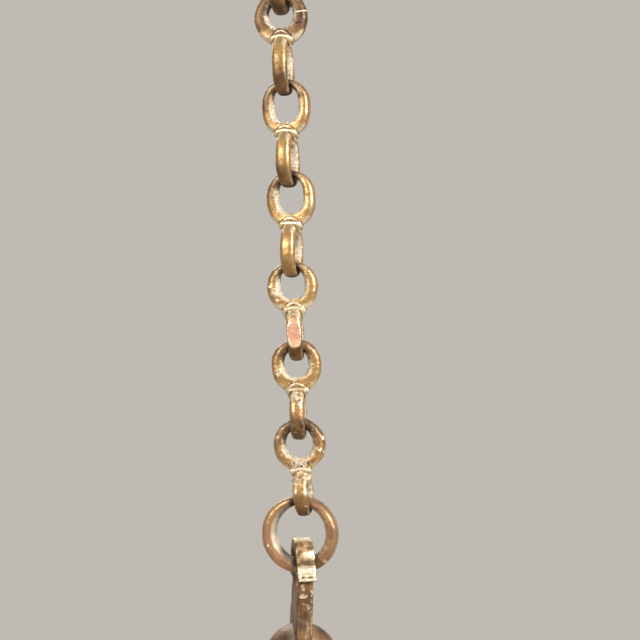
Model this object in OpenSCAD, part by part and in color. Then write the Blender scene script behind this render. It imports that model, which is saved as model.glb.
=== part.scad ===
// Hanging oil lamp: a chain of cast links, each two crossed rings tied by a beaded collar, a plain
// suspension ring, a flat lug on a domed head, a turned stem, a spouted oil bowl and a drip cup.
// The origin is the centre of the top link's free eye, and the lamp hangs down along -Z.

/* [Chain links] */
// Length of a link from end to end, before each casting's own difference
link_length = 44; // [40:0.5:50]
// Thickness of every link ring, along its hole
ring_thick = 6; // [5.4:0.1:6.6]
// Rounding of a link ring's outer edges
rim_round = 1.8; // [1.5:0.05:2.2]
// Rounding of the edges of a link ring's hole
lip_round = 2; // [1.5:0.05:2.4]
// Radius of the solid ball inside a collar
core_r = 4.2; // [3.8:0.1:4.4]
// Radius of a collar's beads
bead_r = 1.05; // [0.9:0.05:1.2]
// Size of a bead's rounded corners against the bead itself
corner_swell = 1.07; // [1.04:0.01:1.15]
// Height of a bead's crest over the middle of the collar
bead_crest = 1.95; // [1.7:0.05:2.2]

/* [Link by link, from the top link down] */
// How much longer than half a link its upper half is
upper_more = [-2.1, -1.7, 0.5, 0.5, -1.7, -0.9, 1.2]; // [-4:0.1:3]
// Half width of the upper ring
upper_half = [10.2, 11, 9.9, 10, 10.4, 10.1, 10.6]; // [9:0.1:12]
// Half width of the upper ring's hole
upper_hole = [5.6, 5.5, 5.6, 5.4, 5.3, 5.3, 6]; // [5:0.1:6.4]
// Wall over the upper ring's hole, worn thin on some links
upper_wall = [4, 4.6, 3, 2.8, 2.8, 4, 4]; // [2.6:0.1:5]
// How far the upper ring's round blank runs past the middle of the link
upper_root = [0.7, 0.7, 0.7, 0.7, 0.7, 0.7, -1.5]; // [-2:0.1:1.2]
// Height from the middle of a link to the upper ring's hole
upper_neck = [4.7, 4.7, 4.4, 4.8, 4.7, 5.3, 6.7]; // [4.2:0.1:7]
// How much longer than half a link its lower half is
lower_more = [-0.4, 1.4, 0.6, -0.2, -1, -1.3, -4.6]; // [-6:0.1:3]
// Half width of the lower ring
lower_half = [10, 10, 10, 10, 10, 10, 9.2]; // [9:0.1:12]
// Half width of the lower ring's hole
lower_hole = [5.5, 5.5, 5.5, 5.4, 5.4, 5.4, 5.2]; // [4.7:0.05:6.4]
// Wall under the lower ring's hole
lower_wall = [4.6, 2.8, 2.8, 2.8, 4, 4, 3]; // [2.6:0.1:5]
// How far the lower ring's round blank runs past the middle of the link
lower_root = [0.7, 0.7, 0.7, 0.7, 0.7, 0.7, 0.7]; // [-2:0.1:1.2]
// Depth from the middle of a link to the lower ring's hole
lower_neck = [4.7, 4.7, 4.7, 4.7, 4.7, 4.7, 3.9]; // [3.6:0.1:7]
// Half length of a collar's beads along the face of their ring
bead_reach = [4, 4, 4, 4, 4, 4, 3.5]; // [3:0.1:5]
// How far the ends of a bead droop below its crest
bead_droop = [2, 2, 2, 2, 2, 1.8, 0.3]; // [0.2:0.1:2.4]
// Clear height between a link and the one it hangs in
nest_gap = [0, 0.7, 1.05, 1.35, 1, 0.85, 0.9]; // [0:0.05:1.4]
// Turn of a link about the chain, in degrees
link_yaw = [0, 0, -3, -2, 7, 8, 2]; // [-10:1:10]
// Lean of a link to the side, in degrees
link_lean = [0, 0, 1, 2, -1, 0.5, -1.5]; // [-4:0.5:4]
// Offset of a link to the side of the chain's line
link_shift = [0, 0, 0.4, 0.6, 0.1, 0, 0.3]; // [-1:0.1:1]

/* [Suspension ring] */
// Outer radius of the suspension ring
loop_r = 15.7; // [14.8:0.1:17]
// Radius of the suspension ring's hole, which lies high so that the ring is heavier below
loop_hole_r = 11.4; // [10.8:0.1:12]
// Wall of the suspension ring at its top
loop_wall = 3.5; // [3:0.1:3.9]
// Thickness of the suspension ring, along its hole
loop_thick = 6.6; // [5.6:0.1:7]
// Rounding of the suspension ring's edges
loop_round = 1.7; // [1.2:0.1:1.8]
// Clear height between the suspension ring and the last link
loop_gap = 1.65; // [1.4:0.05:1.85]
// Turn of the suspension ring about the chain, in degrees
loop_yaw = -5; // [-15:1:15]
// Offset of the suspension ring to the side of the chain's line
loop_shift = -1.2; // [-2:0.1:1]

/* [Domed head] */
// Thickness of the lug at its crown and shoulders
lug_thick = 7.9; // [7.4:0.1:8.5]
// Thickness of the lug's shank
shank_thick = 6.4; // [6:0.1:7]
// Lean of the shank to the side, in degrees
shank_lean = 5.5; // [4:0.5:8]
// Radius of the lug's hole
lug_hole_r = 6.1; // [5.8:0.1:6.5]
// Rounding of the edges of the lug's hole
lug_lip = 3; // [2.4:0.1:3.4]
// Clear height over the suspension ring's wire in the lug's hole
lug_gap = 1.95; // [1.8:0.05:2.3]
// Radius of the lug's crown
crown_r = 9; // [8.7:0.1:9.5]
// Height of the crown's top over the lug's hole
crown_top = 13.3; // [12.8:0.1:14.5]
// Radius of the lug's two shoulders
shoulder_r = 6.5; // [6:0.1:7]
// Distance of a shoulder's centre from the middle of the lug
shoulder_out = 5.5; // [5:0.1:6]
// Depth of a shoulder's centre below the lug's hole
shoulder_drop = 1.4; // [0.8:0.1:1.8]
// Half width of the ledge under the shoulders
ledge_half = 13.6; // [12:0.1:15]
// Depth of the ledge below the lug's hole
ledge_drop = 2.8; // [2.2:0.1:3.2]
// Half height of the ledge
ledge_r = 0.9; // [0.6:0.1:1.2]
// Half width of the shank's waist
waist_half = 10.2; // [9:0.1:11]
// Depth of the waist below the lug's hole
waist_drop = 9.5; // [8.5:0.5:12]
// Radius of the shank's hollow sides
shank_sweep = 40; // [30:1:60]
// Depth of the dome's top below the lug's hole
dome_drop = 22.1; // [20:0.1:25]
// Radius of the dome
dome_r = 15.5; // [15:0.1:19]
// How far the dome's base flange stands out
flange_out = 1.4; // [0.8:0.1:2.5]
// Height of the base flange
flange_h = 2.4; // [2:0.1:4]
// Turn of the head about the chain, in degrees
head_yaw = 18; // [-20:1:20]
// Offset of the lamp to the side of the chain's line
lamp_shift = -3.3; // [-3.6:0.1:-2.4]
// Offset of the lug to the side of the lamp's axis
lug_side = 2.6; // [2:0.1:3]

/* [Stem] */
// Radius of the tie rod through the stem
rod_r = 4; // [3.5:0.1:4.5]
// Depth of the tie rod in the head and in the finial
rod_grip = 14; // [10:0.5:16]
// Clearance round the tie rod
rod_play = 0.15; // [0.1:0.05:0.3]
// Height of the vase
vase_h = 44; // [40:0.5:52]
// Radius of the vase's bulb
vase_r = 12.5; // [11:0.1:14]
// Depth of the bulb's middle below the vase's top
bulb_drop = 20; // [19:0.5:22]
// Radius of the vase's two end discs
disc_r = 11; // [10:0.1:13]
// Height of the vase's two end discs
disc_h = 3; // [2:0.1:4]
// Radius of the vase's neck
vase_neck_r = 7; // [6:0.1:8]
// Radius of the stem collar
knop_r = 18; // [15:0.1:22]
// Height of the stem collar
knop_h = 6; // [5:0.1:8]
// Height of the spindle
spindle_h = 34; // [32:0.5:45]
// Radius of the spindle's shaft
spindle_r = 7; // [6:0.1:8]
// Radius of the spindle's foot
foot_r = 15; // [13:0.1:16]
// Height of the spindle's foot rim
foot_h = 2.2; // [1.6:0.1:3]
// Radius of the bead round the spindle
ring_bead_r = 1.6; // [1.2:0.1:2]

/* [Oil bowl] */
// Radius of the bowl at its rim
bowl_r = 66; // [58:1:80]
// Depth of the bowl, outside
bowl_depth = 26; // [22:0.5:32]
// Wall of the bowl
bowl_wall = 2.8; // [2.2:0.1:3.6]
// Radius of the bead along the rim
rim_bead_r = 2.3; // [2:0.1:3]
// Radius of the bowl's raised middle
boss_r = 16; // [15:0.5:19]
// Thickness of the bowl's middle
boss_h = 6; // [5:0.1:8]
// Number of wick spouts
spout_count = 5; // [3:1:7]
// Radius of a spout, outside
spout_r = 8.4; // [7:0.1:10]
// Wall of a spout
spout_wall = 2.4; // [2:0.1:3]
// How far the middle of a spout's round tip lies beyond the rim
spout_out = 8; // [5:0.5:12]
// Radius of the two sealing washers
washer_r = 12; // [10:0.1:13]
// Thickness of the two sealing washers
washer_h = 1.2; // [0.8:0.1:2]

/* [Drip cup and finial] */
// Radius of the collar under the bowl
under_r = 18; // [16:0.1:22]
// Height of the collar under the bowl
under_h = 11; // [10:0.1:14]
// Radius of the round nut's body
nut_r = 8; // [7:0.1:9]
// Height of the round nut
nut_h = 5; // [4:0.1:6]
// Clearance round the nut
nut_play = 0.4; // [0.3:0.05:0.6]
// Radius of the drip cup at its rim
cup_r = 31; // [27:0.5:38]
// Depth of the drip cup, outside
cup_depth = 14; // [12:0.5:18]
// Wall of the drip cup
cup_wall = 2.4; // [2:0.1:3]
// Height of the drip cup's pillar over its rim
pillar_rise = 5; // [4:0.5:9]
// Radius of the drip cup's pillar
pillar_r = 10; // [9.5:0.1:12]
// Height of the finial
finial_h = 38; // [36:0.5:46]
// Radius of the finial's drop
drop_r = 10; // [9:0.1:11]
// Radius of the finial's tip
tip_r = 4; // [3:0.1:5]

/* [Hidden] */
$fn = 64;
LINKS = len(upper_more);
BRASS = "#b5813a";
WORN_BRASS = "#d3ab62";
DARK_BRASS = "#8d6a38";
FIBRE = "#6d4c35";
// A ring whose straight sides would be shorter than this is drawn round
LEAST_STRAIGHT = 0.05;

// Height of a link's top and depth of its bottom, from its middle
upper_len = [for (more = upper_more) link_length / 2 + more];
lower_len = [for (more = lower_more) link_length / 2 + more];

// Centres of the far arcs of a link's two holes, from the middle of the link
function upper_arc(i) = upper_len[i] - upper_wall[i] - upper_hole[i];
function lower_arc(i) = lower_len[i] - lower_wall[i] - lower_hole[i];
function upper_reach(i) = upper_len[i] - upper_wall[i];
function lower_reach(i) = lower_len[i] - lower_wall[i];

// Height of the middle of link i: its upper ring hangs on the lower ring of the link above
function link_z(i) =
  i == 0 ? -upper_arc(0) : link_z(i - 1) - lower_reach(i - 1) - upper_reach(i) + nest_gap[i];

loop_z = link_z(LINKS - 1) - lower_reach(LINKS - 1) + loop_gap - loop_hole_r;
lamp_z = loop_z - loop_hole_r + lug_gap - lug_hole_r;

// Levels of the lamp's stack, below the lug's hole
dome_base = -dome_drop - dome_r;
vase_z = dome_base - flange_h;
knop_z = vase_z - vase_h;
spindle_z = knop_z - knop_h;
upper_washer_z = spindle_z - spindle_h;
boss_z = upper_washer_z - washer_h;
bowl_base = boss_z - boss_h;
rim_z = bowl_base + bowl_depth;
under_z = bowl_base - washer_h;
pillar_z = under_z - under_h;
cup_rim_z = pillar_z - pillar_rise;
cup_base = cup_rim_z - cup_depth;
rod_top = vase_z + rod_grip;
rod_low = cup_base - rod_grip;
bore_r = rod_r + rod_play;

// Radius of the sphere that a dish of a given rim and depth is part of
function dish_sphere(r, depth) = (r * r + depth * depth) / (2 * depth);

// Half section of a disc with a round rim, and of a hole with flared lips
module rim_section(r, thick, edge) {
  translate([0, -thick / 2]) square([r - edge, thick]);
  translate([0, edge - thick / 2]) square([r, thick - 2 * edge]);
  for (side = [-1, 1]) translate([r - edge, side * (thick / 2 - edge)]) circle(edge);
}
module hole_section(r, thick, edge) {
  difference() {
    translate([0, -thick]) square([r + edge, 2 * thick]);
    translate([r, edge - thick / 2]) square([2 * edge, thick - 2 * edge]);
    for (side = [-1, 1]) translate([r + edge, side * (thick / 2 - edge)]) circle(edge);
  }
}

// A half section turned about Y and stretched upwards from one height to another
module slotted(low, high) {
  translate([0, 0, high]) rotate([90, 0, 0]) rotate_extrude() children();
  if (high - low > LEAST_STRAIGHT) {
    translate([0, 0, low]) rotate([90, 0, 0]) rotate_extrude() children();
    translate([0, 0, low]) linear_extrude(high - low) {
      children();
      mirror([1, 0]) children();
    }
  }
}

module ring_blank(length, half, root) {
  high = length - half;
  slotted(min(half - root, high), high) rim_section(half, ring_thick, rim_round);
}
module ring_hole(length, wall, hole, neck) {
  high = length - wall - hole;
  slotted(min(neck + hole, high), high) hole_section(hole, ring_thick, lip_round);
}

// One bead of a collar: an arch over each face of the ring, joined by a bar across each edge
module collar_bead(reach, droop) {
  face = ring_thick / 2 + bead_r / 10;
  low = bead_crest - droop;
  sweep_r = (reach * reach + droop * droop) / (2 * droop);
  half_turn = asin(reach / sweep_r);
  for (side = [-1, 1]) {
    translate([0, side * face, bead_crest - sweep_r])
      rotate([90, 0, 0])
        rotate(90 - half_turn)
          rotate_extrude(angle = 2 * half_turn) translate([sweep_r, 0]) circle(bead_r);
    translate([side * reach, 0, low])
      rotate([90, 0, 0]) cylinder(r = bead_r, h = 2 * face, center = true);
    for (edge = [-1, 1]) translate([side * reach, edge * face, low]) sphere(bead_r * corner_swell);
  }
}

// Turns a shape made for a link's upper half into its lower half, crossed at a right angle
module crossed() rotate([180, 0, 90]) children();

module cast_link(i) {
  translate([link_shift[i], 0, link_z(i)])
    rotate([0, link_lean[i], link_yaw[i]])
      difference() {
        union() {
          ring_blank(upper_len[i], upper_half[i], upper_root[i]);
          crossed() ring_blank(lower_len[i], lower_half[i], lower_root[i]);
          sphere(core_r);
          collar_bead(bead_reach[i], bead_droop[i]);
          crossed() collar_bead(bead_reach[i], bead_droop[i]);
        }
        ring_hole(upper_len[i], upper_wall[i], upper_hole[i], upper_neck[i]);
        crossed() ring_hole(lower_len[i], lower_wall[i], lower_hole[i], lower_neck[i]);
      }
}

module top_link() color(BRASS) cast_link(0);
module chain_link(i) color(i % 2 == 0 ? WORN_BRASS : BRASS) cast_link(i);

module suspension_ring() color(BRASS)
  translate([loop_shift, 0, loop_z])
    rotate([0, 0, loop_yaw])
      difference() {
        translate([0, 0, loop_hole_r + loop_wall - loop_r])
          slotted(0, 0) rim_section(loop_r, loop_thick, loop_round);
        slotted(0, 0) hole_section(loop_hole_r, loop_thick, loop_round);
      }

// Outline of the lug's head: a crown over two shoulders, closed below by a ledge
module lug_outline() {
  translate([0, crown_top - crown_r]) circle(crown_r);
  difference() {
    for (side = [-1, 1]) translate([side * shoulder_out, -shoulder_drop]) circle(shoulder_r);
    translate([-2 * ledge_half, -2 * ledge_half - ledge_drop]) square([4 * ledge_half, 2 * ledge_half]);
  }
  translate([-shoulder_out, -ledge_drop]) square([2 * shoulder_out, crown_top - crown_r + ledge_drop]);
  translate([ledge_r - ledge_half, -ledge_drop - ledge_r]) square([2 * (ledge_half - ledge_r), 2 * ledge_r]);
  for (side = [-1, 1]) translate([side * (ledge_half - ledge_r), -ledge_drop]) circle(ledge_r);
}

// Outline of the lug's shank, with hollow sides that sweep out into the dome
module shank_outline() {
  difference() {
    translate([-dome_r, dome_base]) square([2 * dome_r, -dome_base - ledge_drop]);
    for (side = [-1, 1]) translate([side * (waist_half + shank_sweep), -waist_drop]) circle(shank_sweep);
  }
}

// A plate across the lug's hole, from an outline drawn with that hole at its origin
module plate(thick) rotate([90, 0, 90]) linear_extrude(thick, center = true) children();

// Places what is drawn with the lug's hole at the origin
module on_lamp() translate([lamp_shift, 0, lamp_z]) children();
module on_lug() translate([lug_side, 0, 0]) rotate(head_yaw) children();

// A turned piece: a half section about the axis, drilled for the tie rod
module turned(bore = bore_r) {
  rotate_extrude()
    difference() {
      children();
      translate([-500, -500]) square([500 + bore, 1000]);
    }
}

// Half section of a disc with a full round edge, hanging down from a height
module bullnose(r, h, top) {
  translate([0, top - h]) square([r - h / 2, h]);
  translate([r - h / 2, top - h / 2]) circle(h / 2);
}

module domed_head() color(BRASS)
  on_lamp()
    difference() {
      union() {
        intersection() {
          translate([0, 0, dome_base]) sphere(dome_r);
          translate([0, 0, dome_base + dome_r]) cube(2 * dome_r, center = true);
        }
        translate([0, 0, vase_z]) cylinder(r = dome_r + flange_out, h = flange_h);
        on_lug() plate(lug_thick) lug_outline();
        intersection() {
          on_lug() rotate([0, shank_lean, 0]) plate(shank_thick) shank_outline();
          union() {
            cube([4 * dome_r, 4 * dome_r, 2 * dome_drop], center = true);
            translate([0, 0, dome_base - dome_r]) cylinder(r = dome_r - flange_out / 2, h = 4 * dome_r);
          }
        }
      }
      on_lug() rotate(90) slotted(0, 0) hole_section(lug_hole_r, lug_thick, lug_lip);
      translate([0, 0, vase_z - 1]) cylinder(r = bore_r, h = rod_grip + 1);
    }

module stem_vase() color(BRASS)
  on_lamp() translate([0, 0, vase_z])
    turned() {
      bullnose(disc_r, disc_h, 0);
      translate([0, 1 - vase_h]) square([vase_neck_r, vase_h - 2]);
      translate([0, -bulb_drop]) circle(vase_r);
      translate([vase_neck_r, -vase_h * 0.8]) circle(ring_bead_r);
      bullnose(disc_r, disc_h, disc_h - vase_h);
    }

module stem_collar() color(WORN_BRASS)
  on_lamp() turned() bullnose(knop_r, knop_h, knop_z);

module stem_spindle() color(BRASS)
  on_lamp() translate([0, 0, spindle_z])
    turned() {
      flare = foot_r - spindle_r;
      translate([0, foot_h - spindle_h]) square([spindle_r, spindle_h - foot_h]);
      translate([spindle_r, -spindle_h / 3]) circle(ring_bead_r);
      difference() {
        translate([0, foot_h - spindle_h]) square([foot_r, flare]);
        translate([foot_r, foot_h + flare - spindle_h]) circle(flare);
      }
      translate([0, -spindle_h]) square([foot_r, foot_h]);
    }

module washer(top) on_lamp() turned() translate([0, top - washer_h]) square([washer_r, washer_h]);
module upper_washer() color(FIBRE) washer(upper_washer_z);
module lower_washer() color(FIBRE) washer(bowl_base);

// Half section of a round dish: two arcs a wall apart, cut off at the rim
module dish_section(r, depth, wall, base) {
  sphere_r = dish_sphere(r, depth);
  intersection() {
    difference() {
      translate([0, base + sphere_r]) circle(sphere_r);
      translate([0, base + sphere_r]) circle(sphere_r - wall);
    }
    translate([0, base - 1]) square([r + 1, depth + 1]);
  }
}

// A horizontal trough with a round end, from inside the bowl out to a spout's tip
module trough(r) {
  tip = bowl_r + spout_out;
  rotate([0, 90, 0]) cylinder(r = r, h = tip);
  translate([tip, 0, 0]) sphere(r);
}

module oil_bowl() color(WORN_BRASS)
  on_lamp()
    difference() {
      union() {
        turned() {
          dish_section(bowl_r, bowl_depth, bowl_wall, bowl_base);
          translate([bowl_r - bowl_wall / 2, rim_z - rim_bead_r]) circle(rim_bead_r);
          translate([0, bowl_base]) square([boss_r, boss_h]);
        }
        difference() {
          translate([0, 0, rim_z])
            for (k = [0 : spout_count - 1]) rotate(k * 360 / spout_count - 90) trough(spout_r);
          translate([0, 0, rim_z]) cylinder(r = 2 * bowl_r, h = 2 * spout_r);
          translate([0, 0, bowl_base + dish_sphere(bowl_r, bowl_depth)])
            sphere(dish_sphere(bowl_r, bowl_depth) - bowl_wall / 2);
        }
      }
      translate([0, 0, rim_z])
        for (k = [0 : spout_count - 1])
          rotate(k * 360 / spout_count - 90)
            difference() {
              trough(spout_r - spout_wall);
              cylinder(r = bowl_r / 2, h = 4 * spout_r, center = true);
            }
    }

module under_collar() color(BRASS)
  on_lamp()
    difference() {
      turned() {
        bullnose(under_r, under_h / 2, under_z);
        translate([0, pillar_z]) square([pillar_r + 2, under_h]);
      }
      translate([0, 0, pillar_z - 1]) cylinder(r = nut_r + nut_play, h = nut_h + 1);
    }

module round_nut() color(DARK_BRASS)
  on_lamp() translate([0, 0, pillar_z])
    difference() {
      cylinder(r = nut_r, h = nut_h);
      translate([0, 0, -1]) cylinder(r = bore_r, h = nut_h + 2);
    }

module drip_cup() color(WORN_BRASS)
  on_lamp() turned() {
    dish_section(cup_r, cup_depth, cup_wall, cup_base);
    translate([cup_r - cup_wall / 2, cup_rim_z - cup_wall / 2]) circle(cup_wall / 2);
    translate([0, cup_base]) square([pillar_r, pillar_z - cup_base]);
  }

module pendant_finial() color(BRASS)
  on_lamp() translate([0, 0, cup_base])
    difference() {
      rotate_extrude()
        intersection() {
          union() {
            bullnose(pillar_r, disc_h, 0);
            translate([0, -rod_grip - disc_h]) square([vase_neck_r, rod_grip + disc_h]);
            translate([0, drop_r + 1.5 * tip_r - finial_h]) circle(drop_r);
            translate([0, tip_r - finial_h]) circle(tip_r);
          }
          translate([0, -2 * finial_h]) square([2 * drop_r, 2 * finial_h]);
        }
      translate([0, 0, -rod_grip]) cylinder(r = bore_r, h = rod_grip + 1);
    }

module tie_rod() color(DARK_BRASS)
  on_lamp() translate([0, 0, rod_low]) cylinder(r = rod_r, h = rod_top - rod_low);

top_link();
for (i = [1 : LINKS - 1]) {
  chain_link(i);
}
suspension_ring();
domed_head();
stem_vase();
stem_collar();
stem_spindle();
upper_washer();
oil_bowl();
lower_washer();
under_collar();
round_nut();
drip_cup();
pendant_finial();
tie_rod();
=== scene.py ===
"""Hanging oil lamp on a cast chain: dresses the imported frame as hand-cast, aged brass."""

import math

import bmesh
import bpy
from mathutils import Euler, Matrix, Vector, noise


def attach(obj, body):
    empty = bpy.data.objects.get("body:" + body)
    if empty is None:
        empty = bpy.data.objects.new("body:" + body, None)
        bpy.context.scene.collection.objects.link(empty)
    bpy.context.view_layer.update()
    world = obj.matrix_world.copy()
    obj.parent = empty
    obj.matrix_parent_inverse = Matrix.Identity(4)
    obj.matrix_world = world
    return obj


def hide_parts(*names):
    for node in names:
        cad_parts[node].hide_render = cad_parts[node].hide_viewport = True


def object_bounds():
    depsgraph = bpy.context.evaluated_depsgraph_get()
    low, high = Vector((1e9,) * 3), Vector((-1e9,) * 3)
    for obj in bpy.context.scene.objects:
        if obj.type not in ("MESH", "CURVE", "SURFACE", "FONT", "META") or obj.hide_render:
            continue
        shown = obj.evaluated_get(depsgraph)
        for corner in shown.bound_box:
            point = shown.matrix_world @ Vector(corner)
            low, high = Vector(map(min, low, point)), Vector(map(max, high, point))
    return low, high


bl_info = {
    "name": "Hanging Chain Oil Lamp",
    "version": (1, 0, 0),
    "blender": (4, 5, 0),
    "location": "View3D > Sidebar > Oil Lamp",
    "description": "Casts the links, ring, head, stem and bowl of a hanging oil lamp in aged brass",
    "category": "Object",
}

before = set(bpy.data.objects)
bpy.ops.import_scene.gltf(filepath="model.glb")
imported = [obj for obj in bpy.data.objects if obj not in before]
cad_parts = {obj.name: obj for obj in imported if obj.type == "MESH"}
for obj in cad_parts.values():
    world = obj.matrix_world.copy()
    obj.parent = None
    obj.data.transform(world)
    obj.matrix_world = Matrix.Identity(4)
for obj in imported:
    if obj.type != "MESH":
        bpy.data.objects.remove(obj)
CAD_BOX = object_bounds()

MM = 0.001
LINK_NODES = ["top_link"] + [f"chain_link_{i}" for i in range(1, 7)]

# Where each link sits: height of its middle, offset to the side, turn and lean, as in the part's source
LINK_MIDDLE_MM = [-10.3, -42.3, -81.35, -119.5, -155.0, -188.25, -223.25]
LINK_SHIFT_MM = [0, 0, 0.4, 0.6, 0.1, 0, 0.3]
LINK_YAW_DEG = [0, 0, -3, -2, 7, 8, 2]
LINK_LEAN_DEG = [0, 0, 1, 2, -1, 0.5, -1.5]
# Of a link's upper and lower hole: reach of its far side from the link's middle, half width, and reach of its near side
UPPER_REACH_MM = [15.9, 15.7, 19.5, 19.7, 17.5, 17.1, 19.2]
LOWER_REACH_MM = [17.0, 20.6, 19.8, 19.0, 17.0, 16.7, 14.4]
UPPER_HOLE_MM = [5.6, 5.5, 5.6, 5.4, 5.3, 5.3, 6.0]
LOWER_HOLE_MM = [5.5, 5.5, 5.5, 5.4, 5.4, 5.4, 5.2]
UPPER_NECK_MM = [4.7, 4.7, 4.4, 4.8, 4.7, 5.3, 6.7]
LOWER_NECK_MM = [4.7, 4.7, 4.7, 4.7, 4.7, 4.7, 3.9]

# Centre of the suspension ring's hole and its radius, of the lug's hole, and of the dome and its radius
LOOP_MIDDLE_MM = Vector((-1.2, 0, -247.4))
LOOP_HOLE_MM = 11.4
LOOP_YAW_DEG = -5
LUG_HOLE_MM = Vector((-0.7, 0, -262.95))
HEAD_YAW_DEG = 18
DOME_MIDDLE_MM = Vector((-3.3, 0, -300.55))
DOME_MM = 15.5
# Height over the middle of the lug's hole of the painted shade in the groove between crown and shoulders, and of
# the place where the ring rubs; how far the shank's foot lies beside the hole; and how deep the lug is dented
CUSP_MM = 3.2
LUG_RUB_MM = 4.15
SHANK_BESIDE_MM = 2.3
DENT_MM = 0.22

# Casting nodules on a link: place in the link's own axes, radius and height; and those on the suspension ring
NODULES_MM = {
    4: [((-9.4, -2.4, 10.2), 0.8, 0.4), ((-6.6, -2.9, 4.2), 0.7, 0.35), ((8.8, -2.8, 7.6), 0.6, 0.3)],
    5: [((-7.6, -2.8, 6.4), 0.7, 0.4), ((0.8, -5.2, -4.6), 0.8, 0.35)],
    6: [((10.2, -1.8, 14.6), 0.9, 0.6), ((8.6, -2.8, 9.6), 0.8, 0.5), ((10.0, -1.6, 9.0), 0.7, 0.55)],
}
LOOP_NODULES_MM = [
    ((-14.4, -1.6, -4.6), 0.9, 0.5), ((-13.2, -3.0, -5.2), 0.6, 0.35), ((10.2, -2.0, -11.4), 1.1, 0.45)]
# A nodule or a patch fades out at this many radii
FADE_RADII = 2.5

# Heights from a link's middle between which its crisp collar gives way to its rounded rings, upwards and downwards
COLLAR_TO_RING_MM = (3.4, 7.5)
LOWER_COLLAR_TO_RING_MM = [COLLAR_TO_RING_MM] * 6 + [(6.5, 10.6)]
# How far kneading is made up for on a link's rings and the suspension ring, and how much stouter that is on its left
RING_PLUMP_MM = 0.3
LOOP_PLUMP_MM = 0.3
LOOP_STOUT_MM = 0.35

# How much a link's upper ring is rubbed brighter or darker than the rest, with painted light and shade on its left
# and right, and its lower ring; and how rough the link was cast
UPPER_TONE_AND_LIGHT = [(-0.25, -0.25), (-0.4, -0.7), (-0.3, 0.25), (0.05, 0.5), (0.2, 0.38), (0.18, 0.1), (0.08, 0.08)]
LOWER_TONE = [-0.2, 0.05, 0.12, 0.34, 0.05, 0.1, 0.02]
ROUGHCAST = [0.8, 0.8, 0.8, 1.0, 2.0, 2.0, 1.9]
# Roughness over which a link holds dirt in its pits, and over which it has craters; and how deep these are
PITTED_OVER = 0.8
CRATERED_OVER = 1.2
CRATER_MM = 0.22
# How dark the grooves of a link's collar are, with grime and painted shade
GROOVE_GRIME_AND_SHADE = [1.0, 1.0, 1.0, 1.0, 1.0, 0.8, 0.45]
# How far a link's collar rises in front and behind, and drops at its sides
SADDLE_MM = [0.9, 1.0, 0.9, 0.7, 0.9, 0.6, 0.2]
# Height, length and strength of the pale skin over a link's collar
COLLAR_PALE_MM = [
    (0.0, 2.8, 0.42), (0.0, 2.8, 0.42), (0.0, 2.8, 0.42), (0.0, 3.0, 0.46), (0.0, 3.2, 0.62), (-0.5, 3.6, 0.34),
    (0.8, 4.0, 0.4)]

# A seam of the mould across the first link's right side, at this height over its middle
SEAM_LINK = 1
SEAM_MM = 9.8
SEAM_HALF_MM = 0.26
SEAM_RISE_MM = 0.28
# From here to the right the seam comes up out of the ring's side
SEAM_FROM_MM = (6.5, 8.0)

# Patches on the front of a link, by its number: chalky skin, grime (on the first link, painted shade) or pale
# crest, how far they lie to the right of and over the link's middle, radius and strength
PATCHES_MM = {
    1: [("grime_and_shade", (7.8, 6.0), 3.4, 0.5)],
    3: [("inside", (-7.5, 14.0), 1.8, 0.5), ("crest", (8.6, 9.0), 4.5, 0.2)],
    4: [("inside", (-7.0, 8.0), 2.8, 0.6), ("inside", (0.0, 0.0), 2.4, 0.5), ("grime_and_shade", (-8.6, 6.4), 0.8, 0.5),
        ("grime_and_shade", (4.4, 3.2), 0.9, 0.5), ("grime_and_shade", (-3.6, 3.4), 0.8, 0.4)],
    5: [("inside", (0.0, -1.6), 2.8, 0.9), ("inside", (0.4, -4.6), 2.0, 0.5), ("inside", (-3.2, 0.4), 1.8, 0.9),
        ("inside", (-7.4, 8.5), 2.6, 0.6), ("grime_and_shade", (-2.3, -0.9), 1.0, 0.45), ("grime_and_shade", (-1.4, -3.2), 1.2, 0.42),
        ("grime_and_shade", (-0.2, -5.8), 1.2, 0.42), ("grime_and_shade", (1.1, -4.0), 1.1, 0.42), ("grime_and_shade", (2.1, -2.2), 1.0, 0.45),
        ("grime_and_shade", (-8.8, 5.6), 0.9, 0.5)],
    6: [("inside", (0.0, 4.0), 4.4, 0.9), ("inside", (-1.0, -2.0), 2.8, 0.55), ("inside", (3.4, -1.0), 2.6, 0.8),
        ("grime_and_shade", (-2.6, 5.0), 0.8, 0.7), ("grime_and_shade", (3.4, 4.4), 0.8, 0.7), ("grime_and_shade", (0.6, 3.4), 0.6, 0.6),
        ("grime_and_shade", (-4.6, 4.2), 0.7, 0.6), ("grime_and_shade", (5.4, 5.6), 0.8, 0.6), ("grime_and_shade", (1.6, -1.8), 0.6, 0.5)],
}

# The link with a rubbed flat on its lower ring: the flat's middle from the link's middle, its half width and height
FACET_LINK = 4
FACET_MIDDLE_MM = Vector((-0.1, -9.2, -9.1))
FACET_HALF_MM = (2.6, 6.3)

# Rounds of smoothing that knead a link, the suspension ring, the head, and the turned or thin pieces
LINK_ROUNDS = 170
LOOP_ROUNDS = 50
HEAD_ROUNDS = 30
CRISP_ROUNDS = 2
# Rounds of smoothing against which wide and narrow grooves show
WIDE_ROUNDS = 24
NARROW_ROUNDS = 5
# Seeds of a casting's waves; a link's is its number, from 1
LOOP_SEED = 11
HEAD_SEED = 12
STEM_SEED = 20
BOWL_SEED = 30

# The floor's depth under the lamp and its radius, in metres
FLOOR_DROP = 0.5
FLOOR_RADIUS = 9.0
# The middle of the camera's frame: its height, and how far it lies to the right of the chain, in metres
FRAME_HEIGHT = -0.1595
FRAME_BESIDE = 0.0107


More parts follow.
